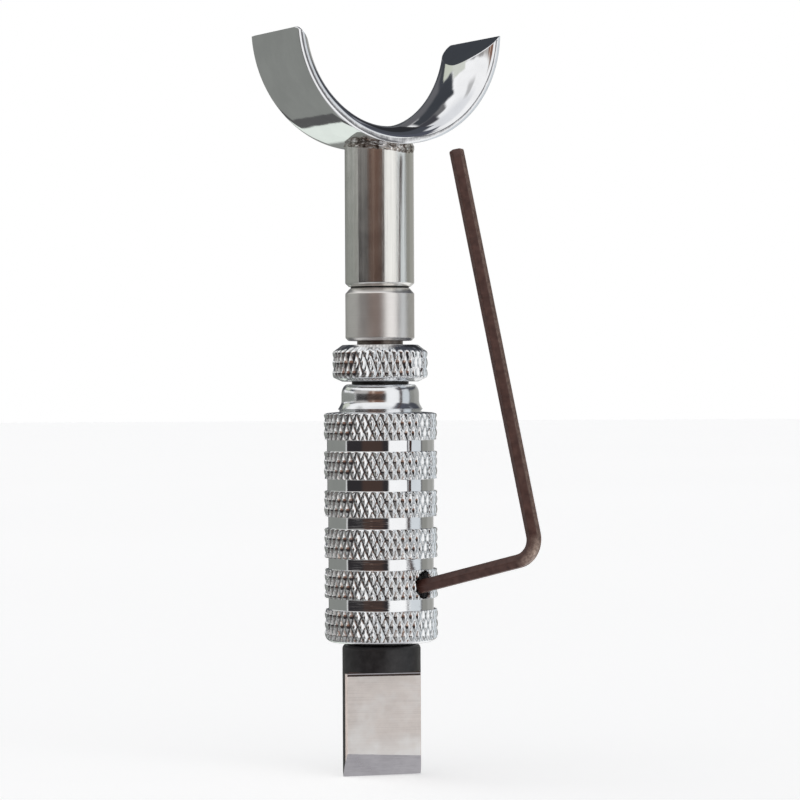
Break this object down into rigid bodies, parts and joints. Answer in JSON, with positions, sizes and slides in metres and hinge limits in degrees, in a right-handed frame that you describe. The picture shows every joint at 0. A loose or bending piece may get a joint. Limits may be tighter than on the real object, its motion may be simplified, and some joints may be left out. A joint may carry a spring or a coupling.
{
  "type": "swivel knife",
  "caption": "Leather carving swivel knife: a finger yoke turns freely above a knurled barrel that clamps a chisel-edged blade, with a hex key leaning in the clamp screw's hole.",
  "frame": {"origin": "on the swivel axis at the lowest point of the cutting edge", "axes": "+Z along the swivel axis from the cutting edge up to the yoke; +X to one arm of the yoke at rest; +Y through the finger trough"},
  "size_m": [0.0271, 0.0264, 0.086],
  "materials": {
    "chrome": "bright chrome plate",
    "satin_chrome": "satin chrome plate",
    "barrel_chrome": "bright chrome plate over a diamond knurl",
    "braze": "plated over a rough brazed bead",
    "turned_steel": "fine turned",
    "bearing_steel": "ground and polished",
    "cage_brass": "pressed",
    "blade_steel": "ground flats, black oxide left on the round",
    "black_oxide": "black oxide",
    "key_oxide": "brown-black oxide, drawn"
  },
  "bodies": {
    "handle": {"barrel": "barrel_chrome"},
    "nut_carrier": {"nut_washer": "turned_steel"},
    "lock_nut": {"lock_nut": "satin_chrome"},
    "height_carrier": {"swivel_washer": "turned_steel"},
    "spindle": {"spindle": "satin_chrome", "lower_bearing_inner_ring": "bearing_steel", "upper_bearing_inner_ring": "bearing_steel", "inner_spacer": "turned_steel", "bearing_washer": "turned_steel", "bearing_screw": "black_oxide"},
    "yoke": {"yoke": "chrome", "yoke_post": "chrome", "braze_bead": "braze", "lower_bearing_outer_ring": "bearing_steel", "upper_bearing_outer_ring": "bearing_steel", "lower_bearing_shields": "bearing_steel", "upper_bearing_shields": "bearing_steel", "outer_spacer": "turned_steel"},
    "lower_ball_set": {"lower_bearing_balls": "bearing_steel", "lower_bearing_cage": "cage_brass"},
    "upper_ball_set": {"upper_bearing_balls": "bearing_steel", "upper_bearing_cage": "cage_brass"},
    "set_screw": {"set_screw": "black_oxide"},
    "blade": {"blade": "blade_steel"},
    "hex_key": {"hex_key": "key_oxide"}
  },
  "joints": [
    {"name": "yoke_height", "type": "slide", "parent": "handle", "child": "height_carrier", "axis": [0, 0, 1], "range_m": [0, 0.008]},
    {"name": "spindle_turn", "type": "hinge", "parent": "height_carrier", "child": "spindle", "pos_m": [0, 0, 0.05], "axis": [0, 0, 1], "range_deg": [0, 3600]},
    {"name": "yoke_swivel", "type": "hinge", "parent": "height_carrier", "child": "yoke", "pos_m": [0, 0, 0.0618], "axis": [0, 0, 1], "continuous": true},
    {"name": "lower_balls_spin", "type": "hinge", "parent": "height_carrier", "child": "lower_ball_set", "pos_m": [0, 0, 0.05825], "axis": [0, 0, 1], "continuous": true},
    {"name": "upper_balls_spin", "type": "hinge", "parent": "height_carrier", "child": "upper_ball_set", "pos_m": [0, 0, 0.06575], "axis": [0, 0, 1], "continuous": true},
    {"name": "nut_lift", "type": "slide", "parent": "handle", "child": "nut_carrier", "axis": [0, 0, 1], "range_m": [0, 0.0004]},
    {"name": "nut_turn", "type": "hinge", "parent": "nut_carrier", "child": "lock_nut", "pos_m": [0, 0, 0.0478], "axis": [0, 0, 1], "range_deg": [0, 180]},
    {"name": "set_screw_turn", "type": "hinge", "parent": "handle", "child": "set_screw", "pos_m": [0.00153, -0.00391, 0.02232], "axis": [0.3633, -0.9317, 0], "range_deg": [0, 720]},
    {"name": "blade_slide", "type": "slide", "parent": "handle", "child": "blade", "axis": [0, 0, -1], "range_m": [0, 0.015]},
    {"name": "key_slide", "type": "slide", "parent": "handle", "child": "hex_key", "axis": [0.4214, -0.8743, 0.2409], "range_m": [0, 0.02]}
  ],
  "couplings": [
    {"joint": "spindle_turn", "follows": "yoke_height", "rad_per_m": 7854},
    {"joint": "nut_turn", "follows": "nut_lift", "rad_per_m": 7854},
    {"joint": "lower_balls_spin", "follows": "yoke_swivel", "ratio": 0.589},
    {"joint": "upper_balls_spin", "follows": "yoke_swivel", "ratio": 0.589}
  ]
}
